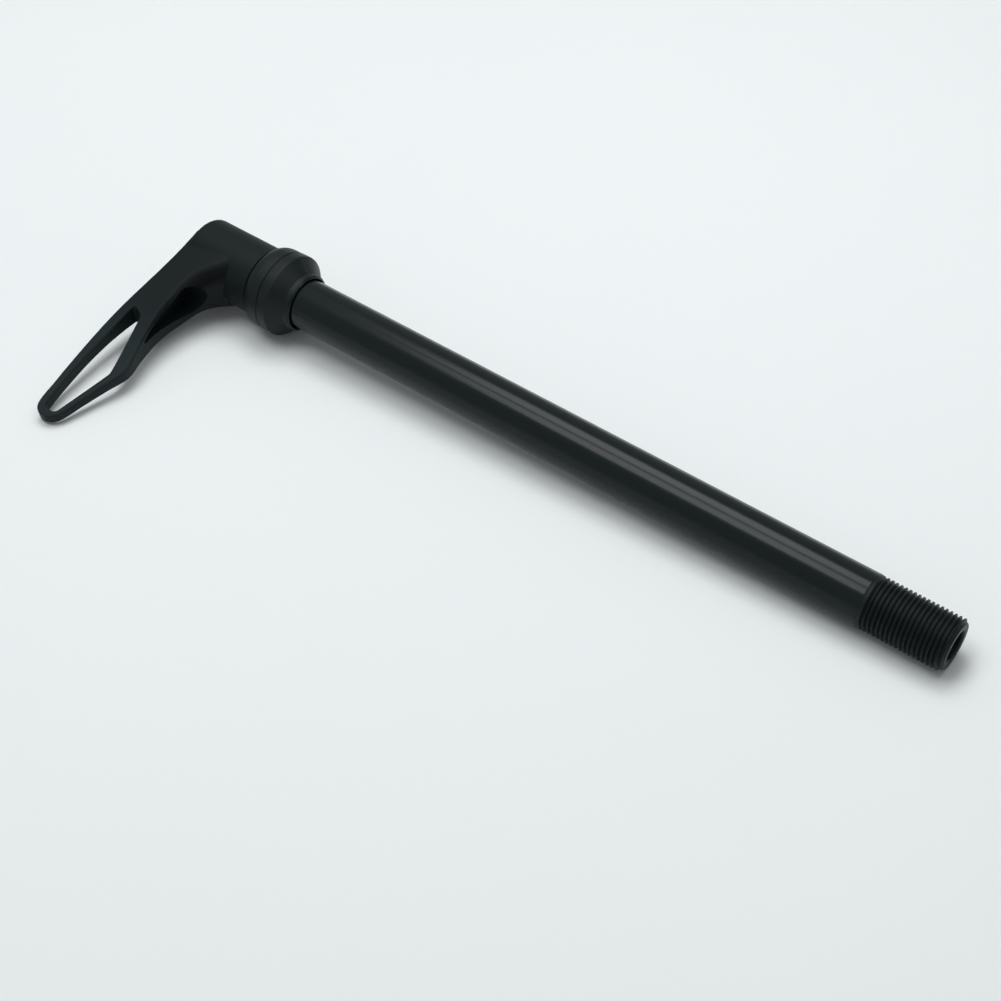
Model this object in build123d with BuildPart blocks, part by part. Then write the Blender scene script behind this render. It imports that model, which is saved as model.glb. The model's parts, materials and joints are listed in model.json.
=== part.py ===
"""Lever thru axle for a bicycle wheel: a threaded axle, a loose cone ring and a pull-out lever.

Millimetres. The axle lies along X with the threaded end at +X. The origin is on the axle's axis
at the front edge of the cone ring, where the plain shaft starts. +Z is up, and the lever's arm
points to -Y, rolled down so that its tip is level with the cone ring's lowest point.
"""

import os
from math import asin, degrees, radians, sin, sqrt

from build123d import *

# Shaft and thread
shaft_r = 6.0
shaft_length = 168.0  # from the cone ring's front edge to the tip of the thread
thread_length = 19.0
thread_r = 5.9  # over the crests
thread_lead = 0.5  # chamfer between the plain shaft and the thread
tip_chamfer = 0.8
bore_r = 3.4  # lightening bore from the threaded end
bore_rim = 0.4
bore_depth = 160.0

# Head flange
flange_r = 9.95
flange_length = 4.6
flange_shoulder = 2.7  # length of the rounded back shoulder
flange_back_r = 8.6
groove_chamfer = 0.25  # each side of the shallow groove between flange and ring

# Cone ring
ring_length = 7.3
ring_r = 10.0
ring_land = 2.6
ring_rim_round = 0.7
ring_nose_r = 7.0
ring_nose_chamfer = 0.5
ring_cone_length = 3.0  # along the axle, for a 45 degree seat
ring_bore_r = 6.45
ring_play = 0.05  # between the ring's back and the flange
neck_r = 5.7  # relieved neck under the ring
o_ring_wire_r = 0.6
o_ring_play = 0.04  # between the o-ring and what it lies in
o_ring_setback = 3.4  # from the ring's front edge to the o-ring's centre

# Toothed stub and journal behind the flange
tooth_count = 24
tooth_root_r = 5.4
tooth_tip_r = 6.1
tooth_root_width = 0.8
tooth_tip_width = 0.5
tooth_play = 0.12
tooth_engaged = 3.5  # length of the lever's inner teeth
journal_r = 4.0
journal_play = 0.05

# Lever barrel
lever_gap = 0.4  # between the flange's back and the lever
barrel_r = 8.4
barrel_edge = 1.2  # rounding of the barrel's outer end
barrel_front_chamfer = 0.3
web_gap = 0.5  # from the stub's end to the lever's web
web_thickness = 2.4
chamber_r = 6.5  # spring chamber
cap_seat_r = 7.0
cap_thickness = 1.2
cap_recess = 0.7  # from the barrel's outer end to the cap
cap_play = 0.03
cap_dish_r = 4.2
cap_dish_depth = 0.3

# Spring, washers and screw inside the barrel
washer_thickness = 0.6
washer_play = 0.25
spring_wire_r = 0.3
spring_wire_sides = 8
spring_mean_r = 5.15
spring_coils = 3.5
spring_length = 7.4
spring_play = 0.02
screw_r = 2.45
screw_hole_r = 2.5
screw_length = 10.0
screw_hole_extra = 1.0
screw_head_r = 4.25
screw_head_height = 2.3
screw_socket = 3.0  # across flats
screw_socket_depth = 1.3
screw_head_chamfer = 0.3
screw_head_clear = 0.5  # between the screw's head and the end cap

# Lever arm, measured from the axle's axis out to the tip (reach) and along X
arm_reach = 59.8
arm_start = 1.3  # the arm leaves the barrel's crown here
arm_sink = 0.05  # its first section lies this far inside the barrel
curve_overrun = 1.0  # the shaping curves run on past the tip
arm_tip_round = 3.0
arm_tip_turn = 75  # degrees of that rounding, before the flat end
arm_tip_sections = 3
arm_tip_thinning = 0.3  # share of the thickness lost in the rounded tip
arm_outer_root = (12.0, -34.0)  # reach and X, as all the points of the arm's edges
arm_outer_mid = (25.0, -35.35)
arm_outer_blade = (42.0, -33.8)
arm_outer_tip_x = -30.5
arm_inner_root_x = -14.5
barrel_side_x = -18.6  # where the inner edge leaves the barrel
heel = (10.5, -21.0)  # in the fillet between barrel and arm
heel_end = (16.0, -23.1)
throat = (27.0, -23.8)
rise = (34.5, -21.9)  # half way up from the throat to the elbow
elbow = (40.0, -20.4)
arm_inner_tip_x = -25.0
arm_tip_half = 1.25
inner_ramp = (20.0, 5.0)  # reach and half thickness along the inner side
inner_elbow_half = 1.7
inner_blade = (50.0, 1.35)
outer_ramp = (24.0, 2.1)  # the outer side is thinner
outer_blade_half = 1.4
root_round = 7.2  # rounding of the inner edges, from the barrel to the tip
heel_round = 4.2
heel_end_round = 2.5
elbow_round = 0.7
inner_tip_round = 0.45
outer_round = 0.8
outer_tip_round = 0.35
arm_body_sections = 14

# Slot through the blade
slot_point = (-32.2, 24.2)  # X and reach of the corners
slot_point_r = 0.9
slot_shoulder = (-28.4, 26.0)
slot_shoulder_r = 3.0
slot_elbow = (-23.1, 42.3)
slot_elbow_r = 2.0
slot_tip_bar = 2.2  # left between the slot and the arm's tip
slot_tip_inner_x = -25.7
slot_tip_outer_x = -29.0
slot_tip_r = 1.2
slot_outer_mid = (-31.6, 41.0)
slot_edge_chamfer = 0.25

# Teardrop pocket in the arm's inner side
pocket_reach = 16.0  # centre of the wide end
pocket_r = 3.6
pocket_lift = 1.2  # above the arm's middle plane
pocket_point_reach = 31.2
pocket_point_r = 0.5
pocket_floor_x = -29.7  # where the sloping floor would meet the axle's axis
pocket_floor_rise = 0.16  # floor's X per mm of reach

# Places along the axle, worked out from the sizes above
flange_front_x = -ring_length
flange_back_x = flange_front_x - flange_length
lever_front_x = flange_back_x - lever_gap
stub_end_x = lever_front_x - tooth_engaged
web_front_x = stub_end_x - web_gap
web_back_x = web_front_x - web_thickness
thrust_back_x = web_back_x - washer_thickness
journal_end_x = thrust_back_x - spring_length
seat_back_x = journal_end_x - washer_thickness
screw_end_x = seat_back_x - screw_head_height
cap_inner_x = screw_end_x - screw_head_clear
barrel_end_x = cap_inner_x - cap_thickness - cap_recess
barrel_length = lever_front_x - barrel_end_x
thread_start_x = shaft_length - thread_length
o_ring_r = neck_r + o_ring_play + o_ring_wire_r
o_ring_groove_r = o_ring_r + o_ring_wire_r + o_ring_play

# The lever is rolled about the axle until the tip's under-face is level with the ring
lever_roll = degrees(asin((ring_r - arm_tip_half) / arm_reach))
lever_plane = Plane.XY.rotated((lever_roll, 0, 0))
arm_direction = -lever_plane.y_dir
pocket_plane = Plane(origin=(pocket_floor_x, 0, 0), x_dir=arm_direction + Vector(pocket_floor_rise, 0, 0),
                     z_dir=Vector(1, 0, 0) - arm_direction * pocket_floor_rise)


def tooth_points(play):
    """Corners of one spline tooth in the YZ plane, grown all round by play."""
    root_half = tooth_root_width / 2 + play
    tip_half = tooth_tip_width / 2 + play
    root = tooth_root_r - tooth_root_width
    tip = tooth_tip_r + play
    return [(root, -root_half), (tooth_root_r, -root_half), (tip, -tip_half),
            (tip, tip_half), (tooth_root_r, root_half), (root, root_half)]


def arm_section_plane(reach):
    """Plane across the arm at a distance from the axle's axis: local x is X, local y the lever's up."""
    return Plane(origin=arm_direction * reach, x_dir=(1, 0, 0), z_dir=arm_direction)


def height_at(curve, reach):
    """Second coordinate of a plan or side curve at a given reach."""
    return curve.find_intersection_points(Axis((reach, 0, 0), (0, 1, 0)))[0].Y


# Curves that shape the arm, as (reach, value): edges in plan, half thickness and edge roundings
arm_end = arm_reach + curve_overrun
crown_start = (arm_start, sqrt(barrel_r ** 2 - arm_start ** 2) - arm_sink)
outer_edge = Spline((arm_start, barrel_end_x + arm_sink), arm_outer_root, arm_outer_mid, arm_outer_blade,
                    (arm_end, arm_outer_tip_x))
blade_edge = Line(elbow, (arm_end, arm_inner_tip_x))
inner_edge = Spline((arm_start, arm_inner_root_x), (barrel_r, barrel_side_x), heel, heel_end, throat,
                    rise, elbow)
outer_crown = Spline(crown_start, outer_ramp, (elbow[0], outer_blade_half), (arm_end, arm_tip_half))
inner_crown = Spline(crown_start, inner_ramp, (elbow[0], inner_elbow_half), inner_blade,
                     (arm_end, arm_tip_half))
outer_rounding = Line((arm_start, outer_round), (arm_end, outer_tip_round))
inner_rounding = Spline((arm_start, root_round), (heel[0], heel_round), (heel_end[0], heel_end_round),
                        (elbow[0], elbow_round), (arm_end, inner_tip_round))

with BuildPart() as axle:
    with BuildSketch():
        with BuildLine():
            Polyline((journal_end_x, 0), (journal_end_x, journal_r), (stub_end_x, journal_r),
                     (stub_end_x, tooth_root_r), (flange_back_x, tooth_root_r),
                     (flange_back_x, flange_back_r))
            TangentArc((flange_back_x + flange_shoulder, flange_r), (flange_back_x, flange_back_r),
                       tangent=(-1, 0))
            Polyline((flange_back_x + flange_shoulder, flange_r), (flange_front_x - groove_chamfer, flange_r),
                     (flange_front_x, flange_r - groove_chamfer), (flange_front_x, neck_r), (0, neck_r),
                     (0, shaft_r), (thread_start_x - thread_lead, shaft_r), (thread_start_x, thread_r),
                     (shaft_length - tip_chamfer, thread_r), (shaft_length, thread_r - tip_chamfer),
                     (shaft_length, bore_r + bore_rim), (shaft_length - bore_rim, bore_r),
                     (shaft_length - bore_depth, bore_r), (shaft_length - bore_depth - bore_r / 2, 0),
                     (journal_end_x, 0))
        make_face()
    revolve(axis=Axis.X)
    with BuildSketch(Plane.YZ.offset(stub_end_x)):
        with PolarLocations(0, tooth_count):
            Polygon(*tooth_points(0), align=None)
    extrude(amount=flange_back_x - stub_end_x)
    with BuildSketch(Plane.YZ.offset(journal_end_x)):
        Circle(screw_hole_r)
    extrude(amount=screw_length - washer_thickness + screw_hole_extra, mode=Mode.SUBTRACT)
axle.part.label = "axle"

with BuildPart() as cone_ring:
    ring_back_x = flange_front_x + ring_play
    rim_x = ring_back_x + ring_land
    cone_end_x = rim_x + ring_cone_length
    with BuildSketch():
        with BuildLine():
            Polyline((0, ring_bore_r), (ring_back_x, ring_bore_r), (ring_back_x, ring_r - groove_chamfer),
                     (ring_back_x + groove_chamfer, ring_r), (rim_x, ring_r), (cone_end_x, ring_nose_r),
                     (-ring_nose_chamfer, ring_nose_r), (0, ring_nose_r - ring_nose_chamfer),
                     (0, ring_bore_r))
        make_face()
    revolve(axis=Axis.X)
    rim = cone_ring.edges().filter_by(GeomType.CIRCLE).group_by(SortBy.RADIUS)[-1].sort_by(Axis.X)[-1]
    fillet(rim, ring_rim_round)
    with BuildSketch():
        with Locations((-o_ring_setback, ring_bore_r)):
            Rectangle(2 * (o_ring_wire_r + o_ring_play), 2 * (o_ring_groove_r - ring_bore_r))
    revolve(axis=Axis.X, mode=Mode.SUBTRACT)
cone_ring.part.label = "cone_ring"

with BuildPart() as ring_o_ring:
    with BuildSketch():
        with Locations((-o_ring_setback, o_ring_r)):
            Circle(o_ring_wire_r)
    revolve(axis=Axis.X)
ring_o_ring.part.label = "ring_o_ring"


def tip_pull_in(reach):
    """How far the rounded tip draws each edge in at a reach."""
    past_round = max(0, reach - (arm_reach - arm_tip_round))
    return arm_tip_round - sqrt(max(0, arm_tip_round ** 2 - past_round ** 2))


slot_tip_reach = arm_reach - slot_tip_bar
body_end = arm_reach - arm_tip_round
arm_stations = [arm_start + (body_end - arm_start) * i / (arm_body_sections - 1)
                for i in range(arm_body_sections)]
arm_stations += [body_end + arm_tip_round * sin(radians(arm_tip_turn * (i + 1) / arm_tip_sections))
                 for i in range(arm_tip_sections)]

with BuildPart() as lever:
    with BuildSketch(Plane.YZ.offset(lever_front_x)):
        Circle(barrel_r)
    extrude(amount=-barrel_length)
    chamfer(lever.edges().sort_by(Axis.X)[-1], barrel_front_chamfer)
    fillet(lever.edges().sort_by(Axis.X)[0], barrel_edge)
    for reach in arm_stations:
        pull_in = tip_pull_in(reach)
        thinning = 1 - arm_tip_thinning * pull_in / arm_tip_round
        outer_x = height_at(outer_edge, reach) + pull_in
        inner_x = height_at(inner_edge if reach < elbow[0] else blade_edge, reach) - pull_in
        outer_half = height_at(outer_crown, reach) * thinning
        inner_half = height_at(inner_crown, reach) * thinning
        with BuildSketch(arm_section_plane(reach)) as section:
            Polygon((outer_x, -outer_half), (inner_x, -inner_half), (inner_x, inner_half),
                    (outer_x, outer_half), align=None)
            fillet(section.vertices().group_by(Axis.X)[0], height_at(outer_rounding, reach) * thinning)
            fillet(section.vertices().group_by(Axis.X)[-1], height_at(inner_rounding, reach) * thinning)
    loft()
    with BuildSketch(lever_plane) as slot:
        with BuildLine():
            Polyline((slot_point[0], -slot_point[1]), (slot_shoulder[0], -slot_shoulder[1]),
                     (slot_elbow[0], -slot_elbow[1]), (slot_tip_inner_x, -slot_tip_reach),
                     (slot_tip_outer_x, -slot_tip_reach))
            ThreePointArc((slot_tip_outer_x, -slot_tip_reach), (slot_outer_mid[0], -slot_outer_mid[1]),
                          (slot_point[0], -slot_point[1]))
        make_face()
        fillet(slot.vertices().sort_by(Axis.Y)[-2], slot_shoulder_r)
        fillet(slot.vertices().sort_by(Axis.Y)[-1], slot_point_r)
        fillet(slot.vertices().sort_by(Axis.X)[-1], slot_elbow_r)
        fillet(slot.vertices().sort_by(Axis.Y)[:2], slot_tip_r)
    extrude(amount=barrel_r, both=True, mode=Mode.SUBTRACT)
    chamfer(lever.edges(Select.LAST).filter_by(GeomType.LINE, reverse=True), slot_edge_chamfer)
    with BuildSketch(pocket_plane):
        with Locations((pocket_reach, -pocket_lift)):
            Circle(pocket_r)
        with Locations((pocket_point_reach, -pocket_lift)):
            Circle(pocket_point_r)
        make_hull()
    extrude(amount=barrel_length, mode=Mode.SUBTRACT)
    with BuildSketch():
        with BuildLine():
            Polyline((lever_front_x, 0), (lever_front_x, tooth_root_r + tooth_play),
                     (web_front_x, tooth_root_r + tooth_play), (web_front_x, journal_r + journal_play),
                     (web_back_x, journal_r + journal_play), (web_back_x, chamber_r),
                     (cap_inner_x, chamber_r), (cap_inner_x, cap_seat_r),
                     (arm_outer_mid[1], cap_seat_r), (arm_outer_mid[1], 0), (lever_front_x, 0))
        make_face()
    revolve(axis=Axis.X, mode=Mode.SUBTRACT)
    with BuildSketch(Plane.YZ.offset(web_front_x)):
        with PolarLocations(0, tooth_count):
            Polygon(*tooth_points(tooth_play), align=None)
    extrude(amount=lever_front_x - web_front_x, mode=Mode.SUBTRACT)
lever.part.label = "lever"

with BuildPart() as thrust_washer:
    with BuildSketch(Plane.YZ.offset(web_back_x)):
        Circle(chamber_r - washer_play)
        Circle(journal_r + washer_play, mode=Mode.SUBTRACT)
    extrude(amount=-washer_thickness)
thrust_washer.part.label = "thrust_washer"

with BuildPart() as spring:
    coil_length = spring_length - 2 * (spring_wire_r + spring_play)
    coil_start_x = thrust_back_x - spring_wire_r - spring_play
    with BuildLine():
        coil = Helix(coil_length / spring_coils, coil_length, spring_mean_r,
                     center=(coil_start_x, 0, 0), direction=(-1, 0, 0))
    with BuildSketch(Plane(origin=coil @ 0, z_dir=coil % 0)):
        RegularPolygon(spring_wire_r, spring_wire_sides)
    sweep(path=coil, is_frenet=True)
spring.part.label = "spring"

with BuildPart() as spring_seat_washer:
    with BuildSketch(Plane.YZ.offset(journal_end_x)):
        Circle(chamber_r - 2 * washer_play)
        Circle(screw_hole_r + spring_play, mode=Mode.SUBTRACT)
    extrude(amount=-washer_thickness)
spring_seat_washer.part.label = "spring_seat_washer"

with BuildPart() as retaining_screw:
    with BuildSketch(Plane.YZ.offset(seat_back_x)):
        Circle(screw_r)
    extrude(amount=screw_length)
    with BuildSketch(Plane.YZ.offset(seat_back_x)):
        Circle(screw_head_r)
    extrude(amount=-screw_head_height)
    chamfer(retaining_screw.edges().sort_by(Axis.X)[0], screw_head_chamfer)
    with BuildSketch(Plane.YZ.offset(screw_end_x)):
        RegularPolygon(screw_socket / 2, 6, major_radius=False)
    extrude(amount=screw_socket_depth, mode=Mode.SUBTRACT)
retaining_screw.part.label = "retaining_screw"

with BuildPart() as end_cap:
    with BuildSketch(Plane.YZ.offset(cap_inner_x)):
        Circle(cap_seat_r - cap_play)
    extrude(amount=-cap_thickness)
    with BuildSketch(Plane.YZ.offset(cap_inner_x - cap_thickness)):
        Circle(cap_dish_r)
    extrude(amount=cap_dish_depth, mode=Mode.SUBTRACT)
end_cap.part.label = "end_cap"

os.makedirs("parts", exist_ok=True)
export_step(axle.part, "parts/axle.step")
export_step(cone_ring.part, "parts/cone_ring.step")
export_step(ring_o_ring.part, "parts/ring_o_ring.step")
export_step(lever.part, "parts/lever.step")
export_step(thrust_washer.part, "parts/thrust_washer.step")
export_step(spring.part, "parts/spring.step")
export_step(spring_seat_washer.part, "parts/spring_seat_washer.step")
export_step(retaining_screw.part, "parts/retaining_screw.step")
export_step(end_cap.part, "parts/end_cap.step")
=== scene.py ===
"""A black lever thru axle on a pale table: every piece's finish, the cut thread, the light and the camera.

Sizes are in millimetres, in the part's own frame, and each mesh is scaled to metres when it is made.
The axle lies along X with its thread at +X, Z is up, and the lever's arm points to -Y.
"""

import json
import math

import bmesh
import bpy
from mathutils import Matrix, Vector


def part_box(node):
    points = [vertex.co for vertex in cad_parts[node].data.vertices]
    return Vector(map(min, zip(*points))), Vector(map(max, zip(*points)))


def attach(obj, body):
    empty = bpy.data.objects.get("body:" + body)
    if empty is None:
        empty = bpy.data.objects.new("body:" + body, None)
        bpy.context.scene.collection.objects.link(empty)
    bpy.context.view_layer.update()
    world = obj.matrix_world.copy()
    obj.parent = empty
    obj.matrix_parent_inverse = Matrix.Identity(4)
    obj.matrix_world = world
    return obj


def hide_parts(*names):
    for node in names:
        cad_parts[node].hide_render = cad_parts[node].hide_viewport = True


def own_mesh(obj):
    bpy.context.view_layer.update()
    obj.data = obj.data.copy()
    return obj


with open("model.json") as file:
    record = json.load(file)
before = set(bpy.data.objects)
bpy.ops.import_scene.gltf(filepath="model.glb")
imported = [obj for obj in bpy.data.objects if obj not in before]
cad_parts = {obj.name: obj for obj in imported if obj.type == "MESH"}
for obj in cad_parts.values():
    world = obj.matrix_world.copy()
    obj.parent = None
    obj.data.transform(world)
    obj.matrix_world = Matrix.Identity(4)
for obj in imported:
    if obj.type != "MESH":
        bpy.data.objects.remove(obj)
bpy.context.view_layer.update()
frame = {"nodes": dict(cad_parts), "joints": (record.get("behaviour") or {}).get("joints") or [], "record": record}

MILLIMETRE = 0.001
TURN = 2 * math.pi


def node_box(node):
    """Lowest and highest corner of a solid, in millimetres."""
    return [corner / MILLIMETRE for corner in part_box(node)]


# Sizes read from the frame
mounts = {mount["name"]: mount["dims"] for mount in frame["record"]["mounts"]}
joints = {joint["name"]: joint for joint in frame["joints"]}
axle_low, axle_high = node_box("axle")
ring_low, ring_high = node_box("cone_ring")
cap_low, cap_high = node_box("end_cap")
spring_low, spring_high = node_box("spring")
shaft_r = mounts["shaft"]["r_mm"]
shaft_end_x = mounts["shaft"]["length_mm"]
thread_r = mounts["thread_end"]["r_mm"]
journal_end_x = axle_low.x
tip_x = axle_high.x
flange_r = axle_high.z
ring_r = ring_high.z
cap_r = cap_high.z
lever_travel = joints["lever_pull"]["range_m"][1] / MILLIMETRE

# Axle
journal_r = 4.0
screw_hole_r = 2.5
screw_hole_depth = 10.4
stub_end_x = -15.8
flange_back_x = -11.9
flange_front_x = -7.3
flange_back_r = 8.6
flange_shoulder = 2.7
neck_r = 5.7
groove_chamfer = 0.25
bore_r = 3.4
bore_rim = 0.4
bore_depth = 160.0
tip_chamfer = 0.8
shoulder_steps = 10

# Teeth of the axle's stub
tooth_count = 24
tooth_root_r = 5.4
tooth_tip_r = 6.1
tooth_root_width = 0.8
tooth_tip_width = 0.5
tooth_lead = 0.15
tooth_step = TURN / tooth_count
tooth_root_half = math.asin(tooth_root_width / 2 / tooth_root_r)
tooth_tip_half = math.asin(tooth_tip_width / 2 / tooth_tip_r)
angle_slack = 1e-6

# Thread
thread_pitch = 1.0
thread_lead = 0.5
thread_depth = 0.613 * thread_pitch
thread_crest = thread_pitch / 8
thread_root = thread_pitch / 6
thread_run_out = 1.2

# Cone ring
ring_bore_r = 6.45
ring_land = 2.6
ring_cone = 3.0
ring_nose_r = 7.0
ring_nose_chamfer = 0.5
ring_rim_round = 0.7
ring_seat_round = 0.3
ring_nose_round = 0.25
ring_lip_round = 0.05
o_ring_setback = 3.4
o_ring_half_groove = 0.64
o_ring_groove_r = 6.98

# Lever, whose arm thins into the blade that fingers pull; the blade's colour is painted paler, as painted light,
# from the first place to the second
blade_start_y = -22.0
blade_full_y = -34.0

# End cap
cap_dish_r = 4.2
cap_dish_depth = 0.3
cap_rim_round = 0.25

# Spring
spring_wire_r = 0.3
spring_mean_r = 5.15
spring_turns = 5.0
spring_closed_turns = 0.8
spring_wire_sides = 12
spring_steps_per_turn = 40

# Edges
edge_break = 0.12
fine_edge = 0.1
edge_steps = 3
sharp_angle = math.radians(35)
weld_distance = 0.0001

# Lightness of the black dye: the even coat, the paler tone for edge wear with a painted highlight and for the
# blade's painted light, and the dark tone of the painted shade on the arm's inner side
even_shades = (0.0095, 0.0115)
wear_and_painted_light_shade = 0.03
painted_shade_tone = 0.003

# Table, which rises a little towards the thread so that ring and thread both lie on it
table_half = 2500.0
table_slope = 0.02382
table_ramp = (-60.0, 190.0)
table_stations = range(-200, 330, 10)
ring_touch_x = 0.66 * ring_low.x  # where the ring's rim meets the table

# Light, as radiance beside a white table's 0.9
strip_height = 1000.0
strip_ends = (-500.0, -30.0)  # along the axle
back_strip_ends = (350.0, 1300.0)
far_strip_sides = (35.0, 540.0)
near_strip_sides = (-540.0, -55.0)
strip_radiance = 5.0
back_strip_radiance = 2.0
fill_height = 380.0
fill_ends = (-50.0, 250.0)
fill_sides = (-20.0, 280.0)
fill_radiance = 1.35
room_tint = (0.97, 0.99, 1.0, 1)
room_turn = (-0.1, 0.5)  # from the lever's side round to the thread's side
room_radiance = (0.42, 0.25)
seen_rise = (-0.03, 0.25)  # slope of the view, from the table's far edge up
seen_radiance = (0.34, 0.9)  # what the camera sees there

# Camera
camera_eye = Vector((229.08, -237.78, 274.1))
camera_target = Vector((70.42, -18.44, -6.0))
camera_lens = 65.388
camera_sensor = 36.0
camera_nearest = 10.0


class Value:
    """A number or colour that nodes work out. Arithmetic on numbers adds Math nodes."""

    def __init__(self, nodes, socket):
        self.nodes = nodes
        self.socket = socket

    def math(self, operation, first, second):
        return self.nodes.node("ShaderNodeMath", {"operation": operation}, {0: first, 1: second})

    def __add__(self, other):
        return self.math("ADD", self, other)

    def __sub__(self, other):
        return self.math("SUBTRACT", self, other)

    def __rsub__(self, other):
        return self.math("SUBTRACT", other, self)

    def __mul__(self, other):
        return self.math("MULTIPLY", self, other)

    def __pow__(self, other):
        return self.math("POWER", self, other)

    __radd__ = __add__
    __rmul__ = __mul__


class Nodes:
    """The nodes of a finish or of the room, and the one way in which they are added."""

    def __init__(self, tree):
        self.tree = tree

    def node(self, kind, settings=None, sockets=None, output=0):
        """Adds a node: its settings first, then its sockets' values or links.

        Returns the named output, or a list of them where output is a tuple of names.
        """
        added = self.tree.nodes.new(kind)
        for name, setting in (settings or {}).items():
            setattr(added, name, setting)
        for name, value in (sockets or {}).items():
            self.feed(added.inputs[name], value)
        if isinstance(output, tuple):
            return [Value(self, added.outputs[name]) for name in output]
        return Value(self, added.outputs[output])

    def feed(self, socket, value):
        """Links a worked-out value to a socket, or sets a plain one."""
        if isinstance(value, Value):
            self.tree.links.new(value.socket, socket)
        else:
            socket.default_value = value

    def between(self, value, low, high, first=0.0, last=1.0):
        """Stretches the part of a value from low to high over first to last, and clips the rest."""
        sockets = {"Value": value, "From Min": low, "From Max": high, "To Min": first, "To Max": last}
        return self.node("ShaderNodeMapRange", {"clamp": True}, sockets)


class Finish(Nodes):
    """A surface finish: a material whose shader is fed by nodes."""

    def __init__(self, name):
        self.material = bpy.data.materials.new(name)
        self.material.use_nodes = True
        super().__init__(self.material.node_tree)
        self.shader = self.tree.nodes["Principled BSDF"]

    def set(self, **sockets):
        """Feeds the shader's own sockets, named with _ for each space."""
        for name, value in sockets.items():
            self.feed(self.shader.inputs[name.replace("_", " ")], value)

    def place(self):
        """The point on the surface in the piece's own frame, in millimetres."""
        here = self.node("ShaderNodeTexCoord", output="Object")
        return self.node("ShaderNodeVectorMath", {"operation": "SCALE"}, {0: here, "Scale": 1 / MILLIMETRE})

    def turned_place(self):
        """The point as distance along the axle and distance from its axis, the same all round a turning."""
        x, y, z = self.node("ShaderNodeSeparateXYZ", None, {0: self.place()}, ("X", "Y", "Z"))
        return self.node("ShaderNodeCombineXYZ", None, {"X": x, "Y": (y * y + z * z) ** 0.5})

    def stretched(self, place, scale):
        """A place with each axis scaled by itself."""
        return self.node("ShaderNodeVectorMath", {"operation": "MULTIPLY"}, {0: place, 1: scale})

    def noise(self, place, scale, detail=2.0, roughness=0.5):
        """Soft noise from 0 to 1, with scale as cells per millimetre."""
        sockets = {"Vector": place, "Scale": scale, "Detail": detail, "Roughness": roughness}
        return self.node("ShaderNodeTexNoise", None, sockets, "Fac")

    def mixed(self, share, first, second):
        """A colour that goes from the first to the second."""
        sockets = {"Factor": share, 6: first, 7: second}
        return self.node("ShaderNodeMix", {"data_type": "RGBA"}, sockets, 2)

    def edges(self, low, high):
        """Where the surface turns outward, such as corners and thread crests."""
        sharpness = self.node("ShaderNodeNewGeometry", output="Pointiness")
        return self.between(sharpness, low, high)

    def relief(self, height, depth):
        """A normal that is pushed about by a height, with depth in millimetres."""
        sockets = {"Height": height, "Strength": 1.0, "Distance": depth * MILLIMETRE}
        return self.node("ShaderNodeBump", None, sockets)


def black(shade):
    """The dye's near black, a little towards teal, at a given lightness."""
    return (0.6 * shade, shade, 1.08 * shade, 1)


def turned_anodising():
    """Satin black anodising over lathe marks, glossier on the ground shaft, and paler on edges, partly as wear and
    partly as a painted highlight.
    """
    finish = Finish("turned_black_anodising")
    along = finish.turned_place()
    x = finish.node("ShaderNodeSeparateXYZ", None, {0: along}, "X")
    ground = finish.between(x, -thread_lead, 0) - finish.between(x, shaft_end_x, shaft_end_x + thread_lead)
    feed_marks = finish.noise(along, 5.0, detail=3)
    broad = finish.noise(finish.stretched(finish.place(), (0.05, 0.25, 0.25)), 1.0, detail=4)
    handling = finish.noise(finish.place(), 0.35, detail=6, roughness=0.65)
    # Edges painted paler: partly wear, partly a painted highlight
    wear_and_painted_highlight = finish.edges(0.52, 0.62) * 0.5
    dye = finish.mixed(broad, *map(black, even_shades))
    finish.set(
        Base_Color=finish.mixed(wear_and_painted_highlight, dye, black(wear_and_painted_light_shade)),
        Roughness=0.38 - 0.24 * ground + 0.06 * handling + 0.05 * feed_marks,
        Specular_IOR_Level=0.19,
        Normal=finish.relief(feed_marks, 0.0006),
    )
    return finish.material


def blasted_anodising():
    """Black anodising over a bead-blasted casting: a fine even grain and soft gloss.

    The dye is painted paler on the blade, as painted light, and darker and rougher on the arm's inner side, as
    painted shade; its edges are a little paler, partly as wear and partly as a painted highlight.
    """
    finish = Finish("blasted_black_anodising")
    place = finish.place()
    grain = finish.noise(place, 7.0, detail=3, roughness=0.6)
    broad = finish.noise(place, 0.12, detail=3)
    y = finish.node("ShaderNodeSeparateXYZ", None, {0: place}, "Y")
    facing = finish.node("ShaderNodeTexCoord", output="Normal")
    inward, upward = finish.node("ShaderNodeSeparateXYZ", None, {0: facing}, ("X", "Z"))
    blade = finish.between(y, blade_start_y, blade_full_y)
    # The blade painted paler: painted light
    painted_blade_light = blade * (0.3 + 0.2 * broad)
    # The arm's inner side painted darker and rougher: painted shade
    painted_flank_shade = finish.between(inward, 0.05, 0.4) * finish.between(upward, 0.05, 0.35) * (1 - blade)
    # Edges painted a little paler: partly wear, partly a painted highlight
    wear_and_painted_highlight = finish.edges(0.51, 0.6) * 0.15
    dye = finish.mixed(broad, *map(black, even_shades))
    # The dye with the paler edges and the blade's painted light
    dye_with_wear_and_painted_light = finish.mixed(wear_and_painted_highlight + painted_blade_light, dye, black(wear_and_painted_light_shade))
    finish.set(
        # Painted shade over the arm's inner side
        Base_Color=finish.mixed(painted_flank_shade, dye_with_wear_and_painted_light, black(painted_shade_tone)),
        Roughness=0.46 + 0.08 * grain + 0.04 * broad + 0.2 * painted_flank_shade,
        Specular_IOR_Level=0.12,
        Normal=finish.relief(grain, 0.004),
    )
    return finish.material


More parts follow.
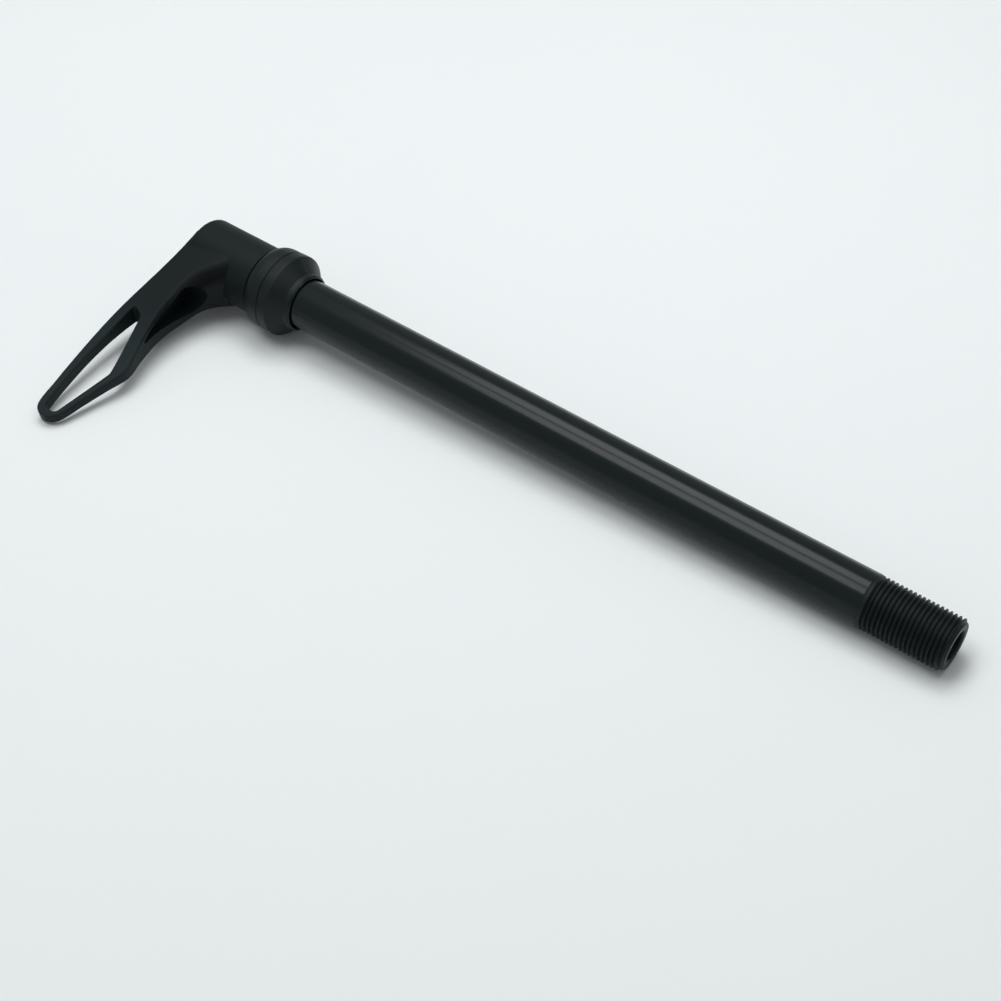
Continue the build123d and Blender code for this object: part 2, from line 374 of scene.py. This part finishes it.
def drawn_steel():
    """Bright steel with fine drawn lines round the axis and a thin oily bloom."""
    finish = Finish("drawn_steel")
    lines = finish.noise(finish.turned_place(), 9.0, detail=2)
    bloom = finish.noise(finish.place(), 0.6, detail=4)
    finish.set(
        Base_Color=finish.mixed(bloom, (0.5, 0.5, 0.51, 1), (0.6, 0.6, 0.6, 1)),
        Metallic=1.0,
        Roughness=0.24 + 0.1 * lines + 0.08 * bloom,
        Normal=finish.relief(lines, 0.002),
    )
    return finish.material


def moulded_rubber():
    """Dull black rubber with a faint bloom."""
    finish = Finish("moulded_rubber")
    bloom = finish.noise(finish.place(), 0.9, detail=5, roughness=0.6)
    skin = finish.noise(finish.place(), 8.0, detail=2)
    finish.set(
        Base_Color=finish.mixed(bloom, black(0.011), black(0.02)),
        Roughness=0.6 + 0.2 * bloom,
        Normal=finish.relief(skin, 0.006),
    )
    return finish.material


def moulded_plastic():
    """Satin black plastic with a fine spark-eroded grain."""
    finish = Finish("moulded_cap_plastic")
    grain = finish.noise(finish.place(), 5.0, detail=2)
    broad = finish.noise(finish.place(), 0.25, detail=3)
    finish.set(
        Base_Color=finish.mixed(broad, black(0.009), black(0.013)),
        Roughness=0.42 + 0.12 * grain,
        Normal=finish.relief(grain, 0.008),
    )
    return finish.material


def pale_card():
    """The table's matt, faintly cold white."""
    finish = Finish("pale_card")
    place = finish.place()
    cloudy = finish.noise(place, 0.006, detail=3)
    fibre = finish.noise(place, 1.5, detail=3)
    finish.set(
        Base_Color=finish.mixed(cloudy, (0.82, 0.85, 0.85, 1), (0.85, 0.875, 0.872, 1)),
        Roughness=0.75 + 0.1 * fibre,
        Specular_IOR_Level=0.25,
        Normal=finish.relief(fibre, 0.01),
    )
    return finish.material


def rounded(corners):
    """Points (x, r) of a profile from corners (x, r, rounding), with an arc at each rounded corner."""
    points = []
    for index, (x, r, rounding) in enumerate(corners):
        corner = Vector((x, r))
        if not rounding:
            points.append(corner)
            continue
        back = (Vector(corners[index - 1][:2]) - corner).normalized()
        ahead = (Vector(corners[index + 1][:2]) - corner).normalized()
        half = back.angle(ahead) / 2
        centre = corner + (back + ahead).normalized() * rounding / math.sin(half)
        start = corner + back * rounding / math.tan(half) - centre
        end = corner + ahead * rounding / math.tan(half) - centre
        for step in range(edge_steps + 1):
            points.append(centre + start.slerp(end, step / edge_steps) * rounding)
    return points


def round_point(x, r, angle):
    """The point at a distance along the axle and from its axis, at an angle round it."""
    return Vector((x, r * math.cos(angle), r * math.sin(angle)))


def turned_rows(profile, angles):
    """A ring of points for each point of a profile."""
    return [[round_point(x, r, angle) for angle in angles] for x, r in profile]


def add_skin(bm, rows, seam_shift=0):
    """Faces between neighbouring rows of points, closed into a tube.

    At the seam a row goes on into the row that lies seam_shift later, as the turns of a thread do.
    """
    corners = [[bm.verts.new(point * MILLIMETRE) for point in row] for row in rows]
    around = len(rows[0])
    for k in range(len(rows) - 1):
        for i in range(around):
            j = (i + 1) % around
            shift = 0 if j else seam_shift
            if k + 1 + shift < len(rows):
                bm.faces.new((
                    corners[k][i], corners[k + shift][j], corners[k + 1 + shift][j], corners[k + 1][i]))


def finished_piece(name, bm, material, body, node):
    """Closes a mesh, shades it, and puts it in a solid's place on a body."""
    bmesh.ops.remove_doubles(bm, verts=bm.verts, dist=weld_distance * MILLIMETRE)
    bmesh.ops.recalc_face_normals(bm, faces=bm.faces)
    mesh = bpy.data.meshes.new(name)
    bm.to_mesh(mesh)
    bm.free()
    mesh.shade_smooth()
    mesh.set_sharp_from_angle(angle=sharp_angle)
    mesh.materials.append(material)
    piece = bpy.data.objects.new(name, mesh)
    bpy.context.scene.collection.objects.link(piece)
    even = piece.modifiers.new("even_shading", "WEIGHTED_NORMAL")
    even.keep_sharp = True
    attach(piece, body)
    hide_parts(node)
    return piece


def tooth_angles():
    """Angles round the axle: the corners and middles of every tooth and gap."""
    offsets = (-tooth_step / 2, -tooth_root_half, -tooth_tip_half, 0, tooth_tip_half, tooth_root_half)
    return [tooth * tooth_step + offset for tooth in range(tooth_count) for offset in offsets]


def tooth_row(x, inset, angles):
    """A ring of points round the toothed stub, drawn in by inset."""
    row = []
    for angle in angles:
        from_tooth = abs((angle + tooth_step / 2) % tooth_step - tooth_step / 2)
        on_tip = from_tooth <= tooth_tip_half + angle_slack
        r = tooth_tip_r if on_tip else tooth_root_r
        row.append(round_point(x, r - inset, angle))
    return row


def thread_rows(start_x, angles):
    """Rows along the thread's crests and roots, from the run-out at start_x to the chamfered tip.

    Also returns how many rows make one turn.
    """
    flank = (thread_pitch - thread_crest - thread_root) / 2
    profile = [
        (0, 0), (thread_crest, 0), (thread_crest + flank, 1), (thread_crest + flank + thread_root, 1)]
    turns = math.ceil((tip_x - start_x) / thread_pitch)
    rows = []
    for turn in range(-1, turns + 1):
        for offset, cut in profile:
            row = []
            for angle in angles:
                along = start_x + (turn + angle / TURN) * thread_pitch + offset
                x = min(max(along, start_x), tip_x)
                share = min(1, (x - start_x) / thread_run_out)
                r = thread_r - thread_depth * cut * share * share * (3 - 2 * share)
                row.append(round_point(x, min(r, thread_r + tip_x - tip_chamfer - x), angle))
            rows.append(row)
    return rows, len(profile)


def make_axle(anodising):
    """The axle as one turning: drilled journal, toothed stub, flange, shaft, thread and blind bore."""
    angles = tooth_angles()
    hole_end_x = journal_end_x + screw_hole_depth
    journal = rounded([
        (hole_end_x + screw_hole_r / 2, 0, 0), (hole_end_x, screw_hole_r, 0),
        (journal_end_x, screw_hole_r, edge_break), (journal_end_x, journal_r, edge_break),
        (stub_end_x, journal_r, 0)])
    stub = [
        tooth_row(stub_end_x, tooth_lead, angles), tooth_row(stub_end_x + tooth_lead, 0, angles),
        tooth_row(flange_back_x, 0, angles)]
    shoulder = []
    for step in range(shoulder_steps + 1):
        turn = math.pi / 2 * step / shoulder_steps
        shoulder.append((
            flange_back_x + flange_shoulder * (1 - math.cos(turn)),
            flange_back_r + (flange_r - flange_back_r) * math.sin(turn)))
    shaft = rounded([
        (flange_back_x + flange_shoulder, flange_r, 0),
        (flange_front_x - groove_chamfer, flange_r, fine_edge),
        (flange_front_x, flange_r - groove_chamfer, fine_edge), (flange_front_x, neck_r, 0),
        (0, neck_r, 0), (0, shaft_r, edge_break), (shaft_end_x, shaft_r, fine_edge),
        (shaft_end_x + thread_lead, thread_r, 0)])[1:]
    bore = rounded([
        (tip_x, thread_r - tip_chamfer, 0), (tip_x, bore_r + bore_rim, fine_edge),
        (tip_x - bore_rim, bore_r, fine_edge), (tip_x - bore_depth, bore_r, 0),
        (tip_x - bore_depth - bore_r / 2, 0, 0)])
    bm = bmesh.new()
    add_skin(bm, turned_rows(journal, angles) + stub + turned_rows(shoulder + shaft, angles))
    thread, rows_per_turn = thread_rows(shaft_end_x + thread_lead, angles)
    add_skin(bm, thread, rows_per_turn)
    add_skin(bm, turned_rows(bore, angles))
    finished_piece("turned_axle", bm, anodising, "axle", "axle")


def make_cone_ring(anodising):
    """The loose ring: a land, a rounded rim, the 45 degree seat and the nose round the shaft."""
    rim_x = ring_low.x + ring_land
    groove_back_x = -o_ring_setback - o_ring_half_groove
    groove_front_x = -o_ring_setback + o_ring_half_groove
    profile = rounded([
        (ring_low.x, ring_bore_r, 0), (ring_low.x, ring_r - groove_chamfer, fine_edge),
        (ring_low.x + groove_chamfer, ring_r, fine_edge), (rim_x, ring_r, ring_rim_round),
        (rim_x + ring_cone, ring_nose_r, ring_seat_round),
        (ring_high.x - ring_nose_chamfer, ring_nose_r, ring_nose_round),
        (ring_high.x, ring_nose_r - ring_nose_chamfer, ring_lip_round), (ring_high.x, ring_bore_r, 0),
        (groove_front_x, ring_bore_r, 0), (groove_front_x, o_ring_groove_r, 0),
        (groove_back_x, o_ring_groove_r, 0), (groove_back_x, ring_bore_r, 0),
        (ring_low.x, ring_bore_r, 0)])
    bm = bmesh.new()
    add_skin(bm, turned_rows(profile, tooth_angles()))
    finished_piece("turned_cone_ring", bm, anodising, "cone_ring", "cone_ring")


def make_end_cap(plastic):
    """The pressed-in cap: a disc with a soft rim and a shallow dish."""
    dish_x = cap_low.x + cap_dish_depth
    profile = rounded([
        (dish_x, 0, 0), (dish_x, cap_dish_r, fine_edge), (cap_low.x, cap_dish_r, fine_edge),
        (cap_low.x, cap_r, cap_rim_round), (cap_high.x, cap_r, edge_break), (cap_high.x, 0, 0)])
    bm = bmesh.new()
    add_skin(bm, turned_rows(profile, tooth_angles()))
    finished_piece("pressed_end_cap", bm, plastic, "lever", "end_cap")


def spring_rise(turned, length):
    """How far the wire has risen after some turns: touching turns at both ends, open ones between."""
    closed_rise = spring_closed_turns * 2 * spring_wire_r
    if turned < spring_closed_turns:
        return turned * 2 * spring_wire_r
    if turned > spring_turns - spring_closed_turns:
        return length - (spring_turns - turned) * 2 * spring_wire_r
    share = (turned - spring_closed_turns) / (spring_turns - 2 * spring_closed_turns)
    return closed_rise + share * (length - 2 * closed_rise)


def make_spring(steel):
    """A round-wire spring with closed ends."""
    length = spring_high.x - spring_low.x
    steps = round(spring_turns * spring_steps_per_turn)
    sides = [TURN * side / spring_wire_sides for side in range(spring_wire_sides)]
    along = Vector((1, 0, 0))
    centres = []
    rings = []
    for step in range(steps + 1):
        turned = spring_turns * step / steps
        rise = spring_rise(turned, length - 2 * spring_wire_r)
        out = round_point(0, 1, turned * TURN)
        centre = Vector((spring_high.x - spring_wire_r - rise, 0, 0)) + out * spring_mean_r
        centres.append(centre)
        rings.append([
            centre + (out * math.cos(side) + along * math.sin(side)) * spring_wire_r for side in sides])
    bm = bmesh.new()
    add_skin(bm, [[centres[0]] * spring_wire_sides, *rings, [centres[-1]] * spring_wire_sides])
    piece = finished_piece("closed_end_spring", bm, steel, "axle", "spring")
    (length - lever_travel) / length
    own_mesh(piece)


def dress(node, material):
    """Gives a solid that stays as it is its finish."""
    materials = frame["nodes"][node].data.materials
    materials.clear()
    materials.append(material)


def table_height(x):
    """Height of the table under a place along the axle."""
    low, high = table_ramp
    return -ring_r + (min(max(x, low), high) - ring_touch_x) * table_slope


def make_table(card):
    """The table as one strip of faces across the axle, level beyond both ends of the part."""
    stations = [-table_half, *table_stations, table_half]
    bm = bmesh.new()
    for x in stations:
        for y in (-table_half, table_half):
            bm.verts.new(Vector((x, y, table_height(x))) * MILLIMETRE)
    bm.verts.ensure_lookup_table()
    for i in range(len(stations) - 1):
        bm.faces.new([bm.verts[k] for k in (2 * i, 2 * i + 2, 2 * i + 3, 2 * i + 1)])
    mesh = bpy.data.meshes.new("table")
    bm.to_mesh(mesh)
    bm.free()
    mesh.shade_smooth()
    mesh.materials.append(card)
    table = bpy.data.objects.new("table", mesh)
    bpy.context.scene.collection.objects.link(table)


def make_lamp(name, height, ends, sides, radiance):
    """A soft lamp over the table, facing down."""
    lamp = bpy.data.lights.new(name, "AREA")
    lamp.shape = "RECTANGLE"
    lamp.size = (ends[1] - ends[0]) * MILLIMETRE
    lamp.size_y = (sides[1] - sides[0]) * MILLIMETRE
    lamp.energy = radiance * math.pi * lamp.size * lamp.size_y
    lamp.color = room_tint[:3]
    hung = bpy.data.objects.new(name, lamp)
    hung.location = Vector((sum(ends) / 2, sum(sides) / 2, height)) * MILLIMETRE
    hung.visible_camera = False
    bpy.context.scene.collection.objects.link(hung)
    return hung


def make_room():
    """A dim room, darker past the thread, which looks pale to the camera and grey at the table's edge."""
    world = bpy.data.worlds.new("pale_room")
    world.use_nodes = True
    room = Nodes(world.node_tree)
    room.tree.nodes.remove(room.tree.nodes["Background"])
    direction = room.node("ShaderNodeTexCoord", output="Generated")
    x, z = room.node("ShaderNodeSeparateXYZ", None, {0: direction}, ("X", "Z"))
    lighting = room.between(x, *room_turn, *room_radiance)
    backdrop = room.between(z, *seen_rise, *seen_radiance)
    dim = room.node("ShaderNodeBackground", None, {"Color": room_tint, "Strength": lighting})
    pale = room.node("ShaderNodeBackground", None, {"Color": room_tint, "Strength": backdrop})
    seen = room.node("ShaderNodeLightPath", output="Is Camera Ray")
    shown = room.node("ShaderNodeMixShader", None, {0: seen, 1: dim, 2: pale})
    room.feed(room.tree.nodes["World Output"].inputs["Surface"], shown)
    bpy.context.scene.world = world


def make_studio():
    """Soft strips overhead with a gap between them, a fill that shows in no gloss, and a dim room."""
    for side, sides in (("far", far_strip_sides), ("near", near_strip_sides)):
        make_lamp(side + "_strip", strip_height, strip_ends, sides, strip_radiance)
        back = make_lamp(side + "_back_strip", strip_height, back_strip_ends, sides, back_strip_radiance)
        back.visible_diffuse = False  # it only shows in gloss, so the table's light stays as it is
    fill = make_lamp("fill", fill_height, fill_ends, fill_sides, fill_radiance)
    fill.visible_glossy = False
    make_room()
    bpy.context.scene.view_settings.view_transform = "Standard"


def aimed(place, target, up):
    """Where the camera stands, and its turn to look at a target."""
    ahead = (target - place).normalized()
    right = ahead.cross(up).normalized()
    turn = Matrix((right, right.cross(ahead), -ahead)).transposed()
    return Matrix.Translation(place * MILLIMETRE) @ turn.to_4x4()


def make_camera():
    """The photograph's view: a long lens, looking down at the part from the thread's side."""
    lens = bpy.data.cameras.new("camera")
    lens.lens = camera_lens
    lens.sensor_width = camera_sensor
    lens.clip_start = camera_nearest * MILLIMETRE
    camera = bpy.data.objects.new("camera", lens)
    table_up = Vector((-table_slope, 0, 1))
    camera.matrix_world = aimed(camera_eye, camera_target, table_up)
    bpy.context.scene.collection.objects.link(camera)
    bpy.context.scene.camera = camera


anodising = turned_anodising()
steel = drawn_steel()
make_axle(anodising)
make_cone_ring(anodising)
make_end_cap(moulded_plastic())
make_spring(steel)
dress("lever", blasted_anodising())
dress("ring_o_ring", moulded_rubber())
for node in ("thrust_washer", "spring_seat_washer", "retaining_screw"):
    dress(node, steel)
make_table(pale_card())
make_studio()
make_camera()
